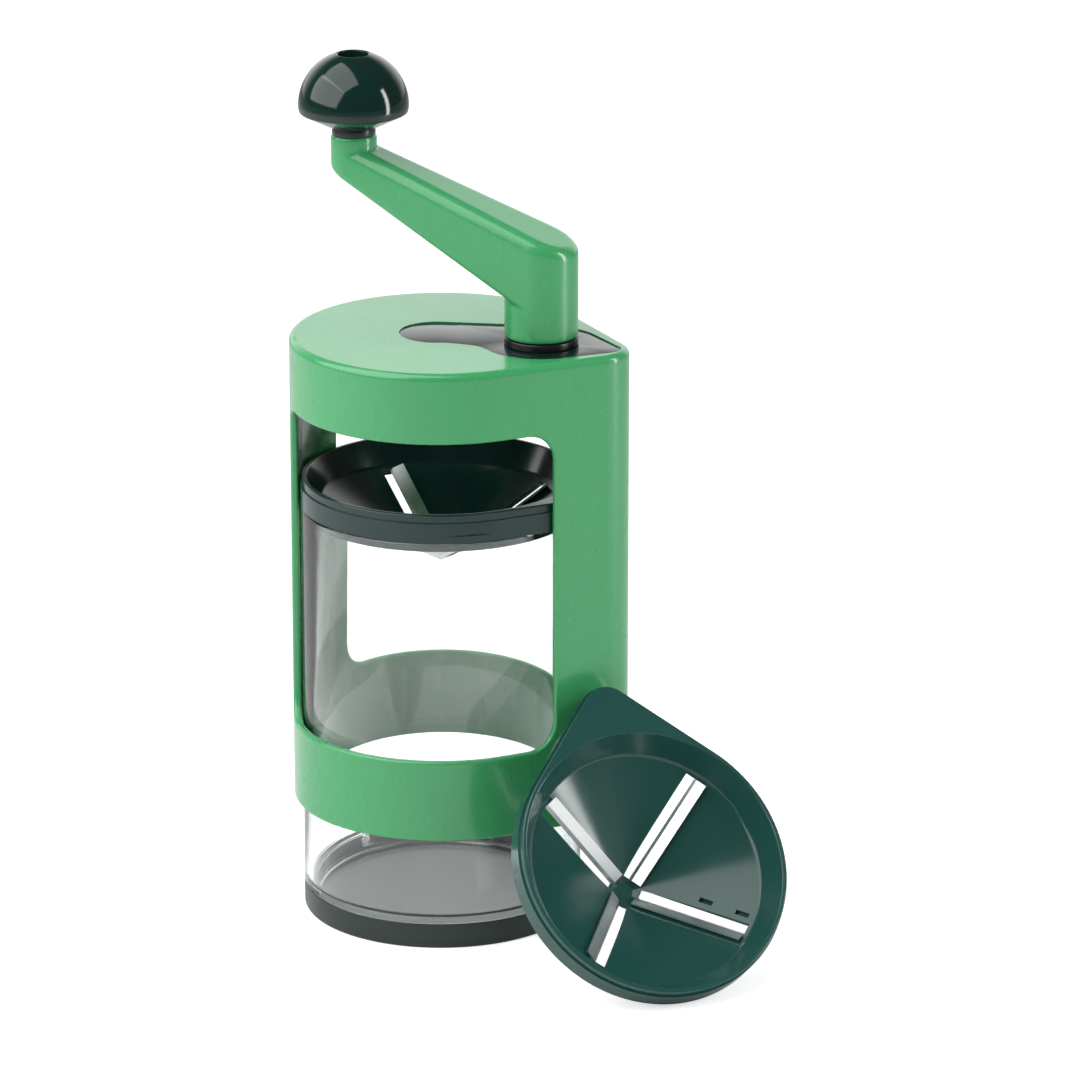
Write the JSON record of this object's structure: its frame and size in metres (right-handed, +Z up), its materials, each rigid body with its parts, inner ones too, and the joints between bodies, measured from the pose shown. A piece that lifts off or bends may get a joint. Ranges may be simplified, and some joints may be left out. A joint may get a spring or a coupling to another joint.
{
  "type": "hand cranked spiralizer",
  "caption": "round clear jar with a blade funnel on its rim, under a one-cornered sleeve whose offset crank turns a geared food holder; a spare funnel leans in front",
  "frame": {"origin": "middle of the jar foot's underside, on the table", "axes": "+Z up, +X towards the sleeve's square corner, +Y to its left"},
  "size_m": [0.1875, 0.1409, 0.3049],
  "materials": {
    "jar_plastic": "clear moulded plastic, polished",
    "foot_rubber": "soft dark grey-green rubber, satin",
    "sleeve_plastic": "light green ABS, lightly glossy",
    "inlay_plastic": "very dark green, high gloss",
    "bush_plastic": "black acetal, satin",
    "cover_plastic": "pale green polypropylene, satin",
    "gear_plastic": "natural acetal, satin",
    "knob_plastic": "nearly black green, glossy",
    "insert_plastic": "dark green ABS, glossy",
    "holder_plastic": "dark green, satin",
    "steel": "stainless steel, fine brushed",
    "blade_steel": "stainless strip, ground edge"
  },
  "bodies": {
    "jar": {"jar": "jar_plastic", "jar_foot": "foot_rubber"},
    "housing": {"sleeve_frame": "sleeve_plastic", "top_inlay": "inlay_plastic", "crank_bush": "bush_plastic", "spindle_bush": "bush_plastic", "gear_cover": "cover_plastic", "cover_bush": "bush_plastic", "cover_screws": "steel"},
    "crank": {"crank_arm": "sleeve_plastic", "crank_shaft": "steel", "crank_gear": "gear_plastic", "crank_washer": "steel", "crank_screw": "steel", "knob_collar": "bush_plastic", "knob_bolt": "steel"},
    "knob": {"knob": "knob_plastic", "knob_cap": "knob_plastic"},
    "spindle": {"spindle_shaft": "steel", "spindle_gear": "gear_plastic", "spindle_clip": "steel", "food_holder": "holder_plastic", "holder_prongs": "steel", "holder_screw": "steel"},
    "insert": {"insert_bowl": "insert_plastic", "insert_blade_1": "blade_steel", "insert_blade_2": "blade_steel", "insert_blade_3": "blade_steel", "insert_blade_4": "blade_steel"},
    "spare_insert": {"spare_bowl": "insert_plastic", "spare_blade_1": "blade_steel", "spare_blade_2": "blade_steel", "spare_blade_3": "blade_steel", "spare_blade_4": "blade_steel"}
  },
  "joints": [
    {"name": "sleeve_slide", "type": "slide", "parent": "jar", "child": "housing", "axis": [0, 0, 1], "range_m": [-0.025, 0.095]},
    {"name": "crank_turn", "type": "hinge", "parent": "housing", "child": "crank", "pos_m": [0.037, 0, 0.2114], "axis": [0, 0, 1], "continuous": true},
    {"name": "knob_spin", "type": "hinge", "parent": "crank", "child": "knob", "pos_m": [-0.031, 0, 0.2816], "axis": [0, 0, 1], "continuous": true},
    {"name": "spindle_turn", "type": "hinge", "parent": "housing", "child": "spindle", "pos_m": [0, 0, 0.2], "axis": [0, 0, 1], "continuous": true},
    {"name": "insert_lift", "type": "slide", "parent": "jar", "child": "insert", "axis": [0, 0, 1], "range_m": [0, 0.005]},
    {"name": "spare_lift", "type": "slide", "parent": "jar", "child": "spare_insert", "axis": [0, 0, 1], "range_m": [0, 0.1]}
  ],
  "couplings": [
    {"joint": "spindle_turn", "follows": "crank_turn", "ratio": -0.7619}
  ]
}
